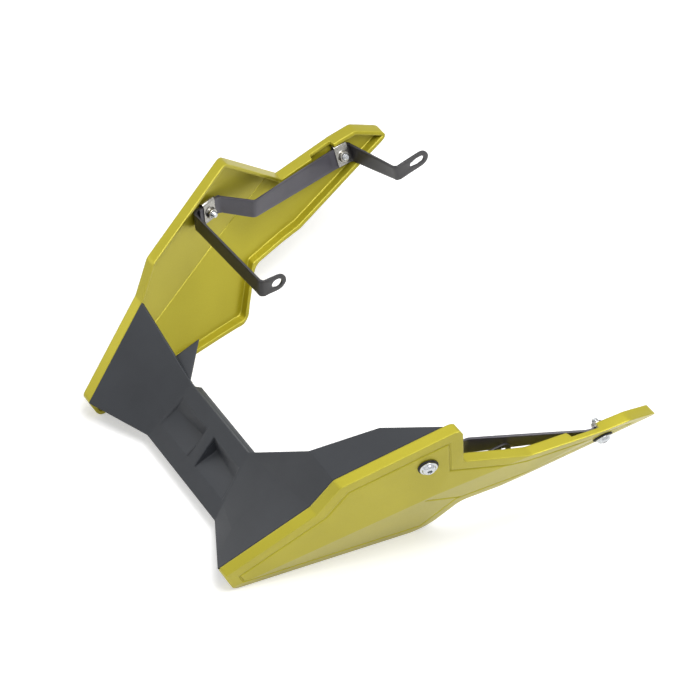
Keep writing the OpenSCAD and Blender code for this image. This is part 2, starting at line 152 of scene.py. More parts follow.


# Polypropylene moulded in a spark eroded tool: a fine even grain that kills the gloss, blue-black all
# through, with a painted highlight a shade greyer along its edges.
def grained_polypropylene():
    m = blank("grained_polypropylene_blue_black")
    here = add(m, "TexCoord").outputs["Object"]
    flow = add(m, "TexNoise", {"Vector": here, "Scale": per_mm(55), "Detail": 3.0, "Roughness": 0.55})
    tone = add(m, "ValToRGB", {"Fac": flow.outputs["Fac"]})
    blend_colours(tone, 0.3, "#1e2126", 0.72, "#272a2f")
    # Spark grain is about 0.15 mm, drawn at 1 mm so that it shows at all
    grain = add(m, "TexNoise", {"Vector": here, "Scale": per_mm(1.0), "Detail": 3.0, "Roughness": 0.7})
    # Painted highlight: the edges are painted a shade greyer
    rounded, painted_edge_highlight = rounded_edges_and_painted_highlight(m, 1.4, 0.995, 0.88, 0.4)
    highlit_grained_edges = add(m, "MixRGB", {"Fac": painted_edge_highlight, "Color1": tone.outputs["Color"], "Color2": linear("#404348")})
    bump = add(m, "Bump", {"Strength": 0.25, "Distance": 0.06 * MM, "Height": grain.outputs["Fac"],
                           "Normal": rounded})
    matt = add(m, "MapRange", {"Value": grain.outputs["Fac"], "To Min": 0.44, "To Max": 0.6})
    plastic = add(m, "BsdfPrincipled", {
        "Base Color": highlit_grained_edges.outputs["Color"], "Metallic": 0.0, "Roughness": matt.outputs["Result"],
        "IOR": 1.49, "Normal": bump.outputs["Normal"]})
    add(m, "OutputMaterial", {"Surface": plastic.outputs["BSDF"]})
    return m


# Mild steel strap, pressed and powder coated: a leathery skin about 1.5 mm across, and a painted
# highlight, grey, along the sheared edges.
def powder_coated_strap(name, dark, pale):
    m = blank(name)
    here = add(m, "TexCoord").outputs["Object"]
    skin = add(m, "TexNoise", {"Vector": here, "Scale": per_mm(1.5), "Detail": 2.0})
    cloud = add(m, "TexNoise", {"Vector": here, "Scale": per_mm(25), "Detail": 3.0})
    tone = add(m, "ValToRGB", {"Fac": cloud.outputs["Fac"]})
    blend_colours(tone, 0.3, dark, 0.7, pale)
    # Painted highlight: the edges are painted grey
    rounded, painted_edge_highlight = rounded_edges_and_painted_highlight(m, 0.5, 0.99, 0.85, 0.45)
    highlit_edges = add(m, "MixRGB", {"Fac": painted_edge_highlight, "Color1": tone.outputs["Color"], "Color2": linear("#59575c")})
    bump = add(m, "Bump", {"Strength": 0.2, "Distance": 0.08 * MM, "Height": skin.outputs["Fac"],
                           "Normal": rounded})
    matt = add(m, "MapRange", {"Value": skin.outputs["Fac"], "To Min": 0.34, "To Max": 0.46})
    coat = add(m, "BsdfPrincipled", {
        "Base Color": highlit_edges.outputs["Color"], "Metallic": 0.0, "Roughness": matt.outputs["Result"],
        "IOR": 1.55, "Normal": bump.outputs["Normal"]})
    add(m, "OutputMaterial", {"Surface": coat.outputs["BSDF"]})
    return m


# Bare or plated metal: dark and pale are the metal's own colours, haze is its roughness and grain
# the size in mm of its polishing or plating marks.
def metal(name, dark, pale, haze, grain):
    m = blank(name)
    here = add(m, "TexCoord").outputs["Object"]
    marks = add(m, "TexNoise", {"Vector": here, "Scale": per_mm(grain), "Detail": 4.0, "Roughness": 0.65})
    tone = add(m, "ValToRGB", {"Fac": marks.outputs["Fac"]})
    blend_colours(tone, 0.3, dark, 0.7, pale)
    rounded = add(m, "Bevel", {"Radius": 0.3 * MM}, samples=6)
    bump = add(m, "Bump", {"Strength": 0.12, "Distance": 0.03 * MM, "Height": marks.outputs["Fac"],
                           "Normal": rounded.outputs["Normal"]})
    matt = add(m, "MapRange", {"Value": marks.outputs["Fac"], "To Min": haze * 0.75,
                               "To Max": haze * 1.25})
    steel = add(m, "BsdfPrincipled", {
        "Base Color": tone.outputs["Color"], "Metallic": 1.0, "Roughness": matt.outputs["Result"],
        "Normal": bump.outputs["Normal"]})
    add(m, "OutputMaterial", {"Surface": steel.outputs["BSDF"]})
    return m


# Moulded black EPDM: dull, with the dusty bloom that new rubber washers have.
def moulded_rubber():
    m = blank("moulded_epdm_black")
    here = add(m, "TexCoord").outputs["Object"]
    bloom = add(m, "TexNoise", {"Vector": here, "Scale": per_mm(3.0), "Detail": 4.0, "Roughness": 0.7})
    tone = add(m, "ValToRGB", {"Fac": bloom.outputs["Fac"]})
    blend_colours(tone, 0.0, "#161617", 1.0, "#2a2a2b")
    bump = add(m, "Bump", {"Strength": 0.2, "Distance": 0.05 * MM, "Height": bloom.outputs["Fac"]})
    rubber = add(m, "BsdfPrincipled", {
        "Base Color": tone.outputs["Color"], "Roughness": 0.78, "IOR": 1.5,
        "Normal": bump.outputs["Normal"]})
    add(m, "OutputMaterial", {"Surface": rubber.outputs["BSDF"]})
    return m


PAINT = sprayed_abs()
GRAINED = grained_polypropylene()
BLACK_STRAP = powder_coated_strap("powder_coated_steel_satin_black", "#1d1b1e", "#272528")
GREY_STRAP = powder_coated_strap("powder_coated_steel_slate_grey", "#34323a", "#3f3d46")
CLIP = metal("zinc_plated_spring_steel", "#86847f", "#b3b1ab", 0.24, 1.2)
CHROME = metal("chromed_steel", "#a3a6aa", "#cdd0d3", 0.15, 0.8)
ZINC = metal("zinc_plated_steel", "#85878a", "#b4b6b9", 0.32, 1.0)
RUBBER = moulded_rubber()

# Each node's material and slot, by the end of its name
FINISH = {
    "side_panel": (PAINT, "panel_paint"),
    "centre_panel": (GRAINED, "textured_plastic"),
    "bracket": (BLACK_STRAP, "strap_coat"),
    "link_strap": (GREY_STRAP, "strap_coat"),
    "clip_nut": (CLIP, "clip_zinc"),
    "joint_screws": (ZINC, "joint_steel"),
    "screw": (CHROME, "screw_steel"),
    "washer": (RUBBER, "washer_rubber"),
}


def finish_of(name):
    return next(finish for end, finish in FINISH.items() if name.endswith(end))


for name, node in nodes.items():
    node.data.materials.clear()
    node.data.materials.append(finish_of(name)[0])


# The faces of a side panel, as in the part's source: half width at the nose, sweep and lean

UPPER = (116.5, 17.2, 4.8)
LOWER = (116.0, 10.0, 20.6)
SHOULDER = (123.6, 14.6, 5.6)
TAIL = (131.0, 4.9, 26.6)
FACES = (UPPER, LOWER, SHOULDER, TAIL)
# Where the frame's origin lies, back from the nose
MID_Y = 189.655
# Corners of a side panel as (back from the nose, up), from the nose over the top and round below
NOSE = (0, 22)
BROW = (71, 84)
STEP = (88, 114)
PEAK = (181, 161)
NOTCH = (186, 116)
BELOW = [(246, 101), (334, 106), (370, 91), (254, 52), (199, 43), (178, 0), (9, 0)]
LEFT_OUTLINE = [NOSE, BROW, STEP, PEAK, NOTCH] + BELOW
RIGHT_OUTLINE = [NOSE, BROW, STEP, PEAK] + BELOW
# Radii of those corners, in the same order
LEFT_RADII = [4, 6, 6, 5, 5, 8, 10, 4, 8, 12, 12, 8]
RIGHT_RADII = [4, 6, 6, 6, 8, 10, 4, 8, 12, 12, 8]
# How thick the wall and the rim are, and how far the rim reaches below the outer surface
WALL = 3.0
RIM_T = 3.0
RIM_DEPTH = 10.0
# Holes in the upper face and the tail, also as (back from the nose, up)
FRONT_HOLE = (157, 120)
REAR_HOLE = (315, 86.5)
JOINT_HOLES = ((30, 33), (66, 66))
# Clearance between pieces that touch
SEAT = 0.15
# Two places closer than this are the same
NEAR = 0.01
CUT_SNAP = 0.001


def slope(angle):
    return math.tan(math.radians(angle))


def face_x(face, y, z):
    return face[0] + y * slope(face[1]) + z * slope(face[2])


def outermost(y, z):
    """The face that forms the outside at a place seen from the side."""
    return min(FACES, key=lambda f: face_x(f, y, z))


def outer_x(y, z):
    """Half width of the outer surface there."""
    return face_x(outermost(y, z), y, z)


def steepness(face):
    """How much longer a wall's thickness is along X than square to its face."""
    return math.sqrt(1 + slope(face[1]) ** 2 + slope(face[2]) ** 2)


def meeting(one, two):
    """The line where two faces meet, seen from the side: a place on it and the way across it."""
    line = Vector((0, slope(one[1]) - slope(two[1]), slope(one[2]) - slope(two[2])))
    return line * ((two[0] - one[0]) / line.length_squared), line.normalized()


# Shaping a piece

def outward(shape):
    """Turns the faces of a closed shape outwards."""
    bmesh.ops.recalc_face_normals(shape, faces=shape.faces[:])


def new_verts(result):
    """The vertices that an operator made."""
    return [g for g in result["geom"] if isinstance(g, bmesh.types.BMVert)]


def bent_edges(shape, least, most=360):
    """Edges whose two faces turn by an angle between least and most degrees."""
    return [e for e in shape.edges if least < math.degrees(e.calc_face_angle(0)) < most]


def soften(shape, edges, width, rounds):
    """Rounds a list of edges."""
    if edges:
        bmesh.ops.bevel(shape, geom=edges, offset=width, segments=rounds, profile=0.5,
                        affect="EDGES", clamp_overlap=True, material=-1)


def cut(shape, place, normal, faces=None):
    """Scores a shape, or only some of its faces, along a plane. Returns what lies on the line."""
    if faces is None:
        region = shape.verts[:] + shape.edges[:] + shape.faces[:]
    else:
        verts = dict.fromkeys(v for f in faces for v in f.verts)
        edges = dict.fromkeys(e for f in faces for e in f.edges)
        region = list(verts) + list(edges) + faces
    return bmesh.ops.bisect_plane(shape, geom=region, plane_co=place, plane_no=normal,
                                  dist=CUT_SNAP)["geom_cut"]


def inset(shape, face, width):
    """Narrows a face by an even band, which it returns."""
    return bmesh.ops.inset_region(shape, faces=[face], thickness=width, use_even_offset=True,
                                  use_boundary=True)["faces"]


def quilt(shape, rows):
    """Faces between rows of vertices."""
    for low, high in zip(rows, rows[1:]):
        for i in range(len(low) - 1):
            shape.faces.new((low[i], low[i + 1], high[i + 1], high[i]))


def thicken(shape, way):
    """Gives a sheet its thickness, to one side."""
    grown = bmesh.ops.extrude_face_region(shape, geom=shape.faces[:], use_keep_orig=True)
    bmesh.ops.translate(shape, vec=way, verts=new_verts(grown))
    outward(shape)


def added(shape, part):
    """Joins one bmesh to another."""
    outward(part)
    mesh = bpy.data.meshes.new("part")
    part.to_mesh(mesh)
    part.free()
    shape.from_mesh(mesh)
    bpy.data.meshes.remove(mesh)


def to_side(shape, side):
    """Leaves a left hand shape as it is, or mirrors it to the right."""
    if side < 0:
        bmesh.ops.transform(shape, matrix=Matrix.Diagonal((-1, 1, 1, 1)), verts=shape.verts[:])
        bmesh.ops.reverse_faces(shape, faces=shape.faces[:])


def on_face(shape, at, face, side):
    """Carries what was drawn with X out of the face and Z up it to a hole in that face."""
    sweep = math.radians(face[1])
    lean = math.atan(slope(face[2]) * math.cos(sweep))
    stand = (Matrix.Translation((outer_x(*at), *at)) @ Matrix.Rotation(-sweep, 4, "Z")
             @ Matrix.Rotation(lean, 4, "Y"))
    bmesh.ops.transform(shape, matrix=stand, verts=shape.verts[:])
    to_side(shape, side)


def turned(shape, profile, ring=False):
    """Spins a profile of (distance out of the face, radius). A ring closes on itself."""
    line = [shape.verts.new((out, radius, 0)) for out, radius in profile]
    pairs = list(zip(line, line[1:])) + ([(line[-1], line[0])] if ring else [])
    edges = [shape.edges.new(pair) for pair in pairs]
    bmesh.ops.spin(shape, geom=line + edges, axis=(1, 0, 0), cent=(0, 0, 0), angle=math.tau, steps=36,
                   use_merge=True)
    bmesh.ops.remove_doubles(shape, verts=shape.verts[:], dist=CUT_SNAP)
    outward(shape)


def arc(centre, radius, start, end, steps):
    """Points (out, radius) of a rounding, its angles in degrees from straight out."""
    turns = [math.radians(start + (end - start) * i / steps) for i in range(steps + 1)]
    return [(centre[0] + radius * math.cos(t), centre[1] + radius * math.sin(t)) for t in turns]


def finished(node, made, shape, smooth):
    """Brings a shape to the frame as the finer piece of a node, smooth below an angle in degrees."""
    material, slot = finish_of(node)
    shape.transform(Matrix.Scale(MM, 4) @ Matrix.Translation((0, -MID_Y, 0)))
    mesh = bpy.data.meshes.new(node + made)
    shape.to_mesh(mesh)
    shape.free()
    mesh.materials.append(material)
    mesh.shade_smooth()
    mesh.set_sharp_from_angle(angle=math.radians(smooth))
    piece = bpy.data.objects.new(node + made, mesh)
    scene.collection.objects.link(piece)
    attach(piece, "root")
    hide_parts(node)


# Fasteners, as distances out of the panel's face, radii, and heights up the face

SCREW_R = 3.0
SHANK_END = -16.0
SHANK_LEAD = 0.9
THREAD_PITCH = 1.0
THREAD_DEPTH = 0.35
PLAIN_SHANK = 3.0
HEAD_SEAT = 1.3
FLANGE_R = 7.0
FLANGE_LIP = 0.45
FLANGE_TOP = 2.15
FLANGE_ROUND = 0.5
DOME = [(2.75, 5.95), (3.0, 5.75), (3.9, 5.5), (4.7, 4.95), (5.3, 4.15), (5.62, 3.3), (5.7, 2.75)]
HEX_R = 2.3
HEX_TOP = 5.62
HEX_FLOOR = 3.3
DRILL_POINT = 2.9
WASHER_R = 8.15
WASHER_BORE = 3.75
WASHER_MIDDLE = 0.65
WASHER_ROUND = 0.58
LEAF_T = 0.8
LEAF_W = 14.0
LEAF_END = -8.0
LEAF_ROUND = 0.2
FRONT_LEAF = -3.1
BACK_LEAF = -8.2
FOLD_UP = 9.4
FLARE_FROM = -5.5
FLARE = 0.9
BARREL_R = 5.2
BARREL_BORE = 3.1
BARREL_ROUND = 0.6
BARREL_END = -13.0
PAN_TOP = -14.45
PAN_R = 3.5
PAN_FLAT_R = 2.4
PAN_ROUND = 0.6
PAN_SEAT = -12.65
TAPPING_R = 1.7
TAPPING_END = -3.4
TAPPING_POINT = 0.8


def hexagon_socket(shape):
    """Draws the round bore of a screw head out to the flats of a hexagon key."""
    side_angle = math.radians(60)
    for v in shape.verts:
        if abs(math.hypot(v.co.y, v.co.z) - HEX_R) < NEAR:
            turn = math.atan2(v.co.z, v.co.y) % side_angle - side_angle / 2
            flat = math.cos(side_angle / 2) / math.cos(turn)
            v.co.y *= flat
            v.co.z *= flat


# Flanged button head screw: a domed head with a hexagon socket, a turned flange and a thread that
# is drawn as a row of rings
def flanged_screw(name, at, face, side):
    shape = bmesh.new()
    thread = []
    out = SHANK_END + SHANK_LEAD
    while out < HEAD_SEAT - PLAIN_SHANK:
        thread += [(out, SCREW_R - THREAD_DEPTH), (out + THREAD_PITCH * 0.4, SCREW_R),
                   (out + THREAD_PITCH * 0.6, SCREW_R)]
        out += THREAD_PITCH
    tip = [(SHANK_END, 0), (SHANK_END, SCREW_R - SHANK_LEAD)]
    neck = [(HEAD_SEAT - 2, SCREW_R), (HEAD_SEAT, SCREW_R), (HEAD_SEAT, FLANGE_R)]
    flange = (arc((HEAD_SEAT + FLANGE_LIP, FLANGE_R + 0.05), FLANGE_LIP, 180, 90, 3)
              + arc((FLANGE_TOP, FLANGE_R), FLANGE_ROUND, 80, 10, 4))
    socket = [(HEX_TOP, HEX_R), (HEX_FLOOR, HEX_R), (DRILL_POINT, 0)]
    turned(shape, tip + thread + neck + flange + DOME + socket)
    hexagon_socket(shape)
    on_face(shape, at, face, side)
    finished(name, "_turned", shape, 32)


# Rubber washer, thick and soft at its rims
def rubber_washer(name, at, face, side):
    shape = bmesh.new()
    turned(shape, arc((WASHER_MIDDLE, WASHER_R), WASHER_ROUND, 180, 0, 8)
           + arc((WASHER_MIDDLE, WASHER_BORE), WASHER_ROUND, 0, -180, 6), ring=True)
    on_face(shape, at, face, side)
    finished(name, "_moulded", shape, 50)


# Spring steel clip nut: a strip folded round the strap ends, its back leaf flared to lead it on,
# with an extruded barrel for the thread
def clip_nut(name, at, face, side):
    shape = bmesh.new()
    back = BACK_LEAF - LEAF_T
    middle = (FRONT_LEAF + back) / 2
    reach = FRONT_LEAF - middle
    outer, inner = (arc((middle, FOLD_UP), radius, 0, 180, 12) for radius in (reach, reach - LEAF_T))
    path = ([(FRONT_LEAF, LEAF_END)] + outer
            + [(back, FLARE_FROM), (back - FLARE, LEAF_END), (back - FLARE + LEAF_T, LEAF_END - 0.1)]
            + [(BACK_LEAF, FLARE_FROM)] + inner[::-1] + [(FRONT_LEAF - LEAF_T, LEAF_END)])
    strip = shape.faces.new([shape.verts.new((x, -LEAF_W / 2, z)) for x, z in path])
    grown = bmesh.ops.extrude_face_region(shape, geom=[strip])
    bmesh.ops.translate(shape, vec=(0, LEAF_W, 0), verts=new_verts(grown))
    outward(shape)
    soften(shape, [e for e in shape.edges if len(e.link_faces) == 2
                   and abs(e.verts[0].co.y - e.verts[1].co.y) < NEAR], LEAF_ROUND, 2)
    barrel = bmesh.new()
    foot = back + 0.2
    turned(barrel, [(foot, BARREL_BORE), (foot, BARREL_R + 0.7), (back - 0.4, BARREL_R)]
           + arc((BARREL_END + BARREL_ROUND, BARREL_R - 0.8), BARREL_ROUND, 90, 180, 3)
           + [(BARREL_END, BARREL_BORE + 0.3), (BARREL_END + 0.3, BARREL_BORE)], ring=True)
    added(shape, barrel)
    on_face(shape, at, face, side)
    finished(name, "_folded", shape, 30)


# Pan head tapping screws, two a side, which hold the centre panel's tabs to the bosses
def joint_screws(name, side):
    shape = bmesh.new()
    head = ([(PAN_TOP, 0), (PAN_TOP, PAN_FLAT_R)]
            + arc((PAN_TOP + PAN_ROUND, PAN_R - PAN_ROUND), PAN_ROUND, 180, 90, 4)
            + [(PAN_SEAT, PAN_R)])
    shank = [(PAN_SEAT, TAPPING_R), (TAPPING_END - TAPPING_POINT, TAPPING_R),
             (TAPPING_END, TAPPING_R - TAPPING_POINT), (TAPPING_END, 0)]
    for at in JOINT_HOLES:
        one = bmesh.new()
        turned(one, head + shank)
        on_face(one, at, UPPER, side)
        added(shape, one)
    finished(name, "_turned", shape, 35)


for side, hand in ((1, "left"), (-1, "right")):
    for place, at, face in (("front", FRONT_HOLE, UPPER), ("rear", REAR_HOLE, TAIL)):
        flanged_screw(hand + "_" + place + "_screw", at, face, side)
        rubber_washer(hand + "_" + place + "_washer", at, face, side)
        clip_nut(hand + "_" + place + "_clip_nut", at, face, side)
    joint_screws(hand + "_joint_screws", side)


# Side panels: a skin bent over the four faces with a pressed border line, a wall behind it, and a
# returned rim whose outer edge is rolled. Every vertex carries its depth below the outer surface.

BORDER = 9.0
GROOVE_W = 2.6
GROOVE_D = 1.4
CREASE = ((160, 71), (198, 52))
CREASE_W = 3.0
CREASE_D = 1.4
CREASE_FADE = 0.12
# Half width of the sharp line inside, where the upper face meets the lower
FOLD_LINE = 0.5
FOLD_DEPTH = 1.4
# The tail's top rim is cut back between the middle two of these stations, and slopes down to
# that from the outer two
RIM_BREAK = (282, 283.5, 307.5, 309)
RIM_BREAK_UP = 95
RIM_BREAK_DIP = 5.0
BOSS_R = 4.0
BOSS_FOOT_R = 5.2
PILOT_R = 1.75
FOLD_ANGLES = (2.5, 25)
FOLD_ROUND = 2.5
EDGE_ROLL = 1.6
LIP_ROUND = 0.5
LIP_FROM = 4.0
# The outer surface looks outwards by more than this share of its normal
LOOKS_OUT = 0.3
# A vertex this close to a scored line lies on it
ON_LINE = 0.02


def settle(shape, depth):
    """Moves every vertex to its depth below the outer surface."""
    for v in shape.verts:
        v.co.x = outer_x(v.co.y, v.co.z) - v[depth] * steepness(outermost(v.co.y, v.co.z))


def outside(vert, depth):
    """Whether a vertex lies on the outer surface."""
    return vert[depth] < NEAR


def panel_inside(shape, depth, outline):
    """The inner face of the wall, sunk within the flat edge of the rim."""
    back = [shape.verts.new((0, y, z)) for y, z in outline]
    inner = shape.faces.new(back)
    inner.normal_update()
    inset(shape, inner, RIM_T)
    for v in shape.verts:
        v[depth] = RIM_DEPTH
    for v in new_verts(bmesh.ops.extrude_face_region(shape, geom=[inner])):
        v[depth] = WALL
    if inner.is_valid:
        bmesh.ops.delete(shape, geom=[inner], context="FACES_ONLY")
    return back


def panel_outside(shape, depth, outline):
    """The outer skin, with a border line pressed into it at an even distance from its edge."""
    behind = set(shape.verts)
    front = [shape.verts.new((0, y, z)) for y, z in outline]
    skin = shape.faces.new(front)
    skin.normal_update()
    inset(shape, skin, BORDER)
    inset(shape, skin, GROOVE_W / 2)
    pressed = [v.co.copy() for v in skin.verts]
    inset(shape, skin, GROOVE_W / 2)
    for v in set(shape.verts) - behind:
        v[depth] = GROOVE_D if any((v.co - q).length < NEAR for q in pressed) else 0.0
    return front


def press_fold(shape, depth):
    """Sharp line on the inside of the wall where the upper face meets the lower one."""
    seat, way = meeting(UPPER, LOWER)
    for shift in (-FOLD_LINE, FOLD_LINE):
        faces = [f for f in shape.faces if all(abs(v[depth] - WALL) < NEAR for v in f.verts)]
        cut(shape, seat + way * shift, way, faces)
    for v in shape.verts:
        off_line = (Vector((0, v.co.y, v.co.z)) - seat).dot(way)
        if abs(v[depth] - WALL) < NEAR and abs(off_line) < ON_LINE:
            v[depth] = WALL - FOLD_DEPTH


def dip_rim(shape, depth):
    """Cuts back the top rim of the tail for a short way."""
    for y in RIM_BREAK:
        cut(shape, Vector((0, y, 0)), Vector((0, 1, 0)))
    for v in shape.verts:
        in_break = RIM_BREAK[0] < v.co.y < RIM_BREAK[3] and v.co.z > RIM_BREAK_UP
        if in_break and v[depth] > RIM_DEPTH - 0.1:
            v[depth] = RIM_DEPTH - RIM_BREAK_DIP


def round_corners(shape, outline, radii):
    """Rounds the edges that stand at each corner, first outside and then inside the rim."""
    for i, ((y, z), radius) in enumerate(zip(outline, radii)):
        before = Vector(outline[i - 1]) - Vector((y, z))
        after = Vector(outline[(i + 1) % len(outline)]) - Vector((y, z))
        half = before.angle(after) / 2
        rim_reach = RIM_T / math.sin(half) + 0.3
        for reach, rounding in ((NEAR, radius), (rim_reach, max(radius - RIM_T, 1.0))):
            standing = []
            for edge in shape.edges:
                foot, head = (v.co for v in edge.verts)
                level = abs(foot.y - head.y) + abs(foot.z - head.z)
                if (level < NEAR and abs(foot.x - head.x) > 1
                        and math.hypot(foot.y - y, foot.z - z) < reach):
                    standing.append(edge)
            soften(shape, standing, rounding / math.tan(half), 4)


def press_crease(shape, depth):
    """A shallow crease across the lower face, from the ridge to the heel, with tapered ends."""
    start, end = (Vector((0, y, z)) for y, z in CREASE)
    along = (end - start).normalized()
    across = Vector((0, -along.z, along.y))
    lines = [(start.lerp(end, t), along) for t in (0.0, CREASE_FADE, 1 - CREASE_FADE, 1.0)]
    lines += [(start + across * t, across) for t in (-CREASE_W / 2, 0.0, CREASE_W / 2)]
    for place, normal in lines:
        shape.normal_update()
        faces = [f for f in shape.faces
                 if f.normal.x > LOOKS_OUT and all(outside(v, depth) for v in f.verts)
                 and outermost(f.calc_center_median().y, f.calc_center_median().z) == LOWER]
        cut(shape, place, normal, faces)
    shape.normal_update()
    length = (end - start).length
    for v in shape.verts:
        way = Vector((0, v.co.y, v.co.z)) - start
        on_crease = abs(way.dot(across)) < ON_LINE and 1 < way.dot(along) < length - 1
        if on_crease and outside(v, depth) and v.normal.x > LOOKS_OUT:
            v.co.x -= CREASE_D * steepness(LOWER)


def soften_panel(shape, depth):
    """Softens the folds between the faces, presses the crease, rolls the edge, breaks the lips."""
    shape.normal_update()
    folds = [e for e in bent_edges(shape, *FOLD_ANGLES) if all(outside(v, depth) for v in e.verts)
             and all(f.normal.x > LOOKS_OUT for f in e.link_faces)]
    soften(shape, folds, FOLD_ROUND, 3)
    press_crease(shape, depth)
    shape.normal_update()
    rolled = [e for e in bent_edges(shape, 45) if all(outside(v, depth) for v in e.verts)]
    soften(shape, rolled, EDGE_ROLL, 3)
    shape.normal_update()
    lips = [e for e in bent_edges(shape, 60) if e.is_convex and all(v[depth] > LIP_FROM for v in e.verts)]
    soften(shape, lips, LIP_ROUND, 2)


def add_bosses(shape):
    """Pillars behind the upper face for the joint screws, flared at the foot, each with a bore."""
    foot = 0.1 - WALL
    top = SEAT - RIM_DEPTH
    for at in JOINT_HOLES:
        boss = bmesh.new()
        turned(boss, [(foot, BOSS_FOOT_R), (-WALL - 1, BOSS_R + 0.3), (top + 0.4, BOSS_R),
                      (top, BOSS_R - 0.4), (top, PILOT_R), (foot, PILOT_R)], ring=True)
        on_face(boss, at, UPPER, 1)
        added(shape, boss)


def side_panel(name, outline, radii, side):
    shape = bmesh.new()
    depth = shape.verts.layers.float.new("depth")
    back = panel_inside(shape, depth, outline)
    front = panel_outside(shape, depth, outline)
    settle(shape, depth)
    for i in range(len(outline)):
        shape.faces.new((front[i - 1], front[i], back[i], back[i - 1]))
    for i, one in enumerate(FACES):
        for two in FACES[i + 1:]:
            cut(shape, *meeting(one, two))
    press_fold(shape, depth)
    dip_rim(shape, depth)
    settle(shape, depth)
    outward(shape)
    round_corners(shape, outline, radii)
    soften_panel(shape, depth)
    add_bosses(shape)
    to_side(shape, side)
    finished(name, "_moulding", shape, 28)


side_panel("left_side_panel", LEFT_OUTLINE, LEFT_RADII, 1)
side_panel("right_side_panel", RIGHT_OUTLINE, RIGHT_RADII, -1)


# Centre panel: a moulded sheet folded along the waist, with two wedge scoops, a wing on the left
# side, tongues behind the rims, tabs for the joint screws and a fin on each side

# Down, square to the line from the nose to the brow
DOWN = Vector((0, BROW[1] - NOSE[1], NOSE[0] - BROW[0])).normalized()
SHEET_T = 3.0
SHEET_ROUND = 1.0
PLATE_ROUND = 0.5
INBOARD = RIM_DEPTH + 2 * SEAT
# The middle: half its width, its foot as (back, up), its run and its slope
WAIST_HALF = 50
WAIST_FLARE = 6
WAIST_TAPER = 1.6
WAIST_FOOT = (28, 13)
WAIST_RUN = 65
WAIST_SLOPE = math.radians(52)
# Scoops, measured across the middle and up its slope
RIB_HALF = 5
SCOOP_MARGIN = 2.5
SCOOP_FOOT = 16
SCOOP_TOP = 51
SCOOP_RIM = 1.6
SCOOP_DEEPEST = 37
SCOOP_DEPTH = 13
SCOOP_END = 4
# Where the cheeks and the wing have their lines across, as shares of their width
ACROSS = (0, 0.25, 0.5, 0.75, 1)
WING_REACH = 37
WING_TIP = 0.9
WING_INNER_TIP = 0.53
TONGUE_SHARE = (0.86, 0.985)
TONGUE_LAP = 2.5
TONGUE_T = 1.6
# The rim's thickness measured square to the front run, which the panel's sweep makes longer
TONGUE_DROP = 1.08 * RIM_T + SEAT
FLANGE_INSET = 6
FLANGE_DEPTH = 11
TAB_R = 7.5
TAB_T = 2.5
TAB_POINTS = 24
# Fins behind the waist
FIN_FROM_WAIST = 14
FIN_W = 16
FIN_BACK = 29
FIN_RISE = 10
FIN_T = 2.4


def on_waist(x, up, out=0.0):
    """A place on the middle of the centre panel: across, up its slope, out of its face."""
    c, s = math.cos(WAIST_SLOPE), math.sin(WAIST_SLOPE)
    return Vector((x, WAIST_FOOT[0] + up * c - out * s, WAIST_FOOT[1] + up * s + out * c))


def waist_fold(up):
    """Half width of the middle, which narrows on its way up."""
    return WAIST_HALF + WAIST_FLARE * (1 - WAIST_TAPER * up / WAIST_RUN)


def between(q, u, v):
    """A place between the four corners of q."""
    return q[0] * ((1 - u) * (1 - v)) + q[1] * (u * (1 - v)) + q[2] * (u * v) + q[3] * ((1 - u) * v)


def run_end(at, inboard, sink=0.0):
    """A place on the front run of a side panel, inboard of its face and below its edge."""
    return Vector((outer_x(*at) - inboard * steepness(UPPER), *at)) + DOWN * sink


def plate(shape, rows, way, side=1):
    """A moulded plate through rows of points, its edges broken."""
    part = bmesh.new()
    quilt(part, [[part.verts.new((p.x * side, p.y, p.z)) for p in row] for row in rows])
    thicken(part, Vector((way.x * side, way.y, way.z)))
    soften(part, bent_edges(part, 50), PLATE_ROUND, 2)
    added(shape, part)


def joint_tab(shape, at, side):
    """Round ended tab behind a boss of the side panel, hung from the underside of the cheek."""
    part = bmesh.new()
    up = -DOWN
    flank = Vector((0, up.z, -up.y))
    hang = Vector((0, at[0] - NOSE[0], at[1] - NOSE[1])).dot(DOWN) - 1
    level = Vector((-RIM_DEPTH - SEAT, 0, 0))
    rim, hole = [], []
    for i in range(TAB_POINTS):
        turn = math.tau * i / TAB_POINTS
        ray = flank * math.cos(turn) + up * math.sin(turn)
        edge = TAB_R
        if turn <= math.pi:
            edge = min(TAB_R / max(abs(math.cos(turn)), 0.001), hang / max(math.sin(turn), 0.001))
        rim.append(part.verts.new(ray * edge + level))
        hole.append(part.verts.new(ray * TAPPING_R + level))
    for i in range(TAB_POINTS):
        part.faces.new((rim[i - 1], rim[i], hole[i], hole[i - 1]))
    thicken(part, Vector((-TAB_T, 0, 0)))
    on_face(part, at, UPPER, side)
    added(shape, part)


def tongue(shape, q, ends, v0, v1, side):
    """Tongue that runs on behind the rim between the shares v0 and v1 of a run, a step lower."""
    sink = DOWN * (SHEET_T - 1)
    plate(shape, [[between(q, u, v) + sink for u in TONGUE_SHARE] for v in (v0, (v0 + v1) / 2, v1)],
          DOWN * (TONGUE_DROP + 3 - SHEET_T), side)
    stations = [ends[0].lerp(ends[1], v) for v in (v0 + 0.04, v1 - 0.04)]
    plate(shape, [[run_end(at, depth, TONGUE_DROP) for depth in (RIM_DEPTH + TONGUE_LAP, WALL + 2 * SEAT)]
                  for at in stations], DOWN * TONGUE_T, side)


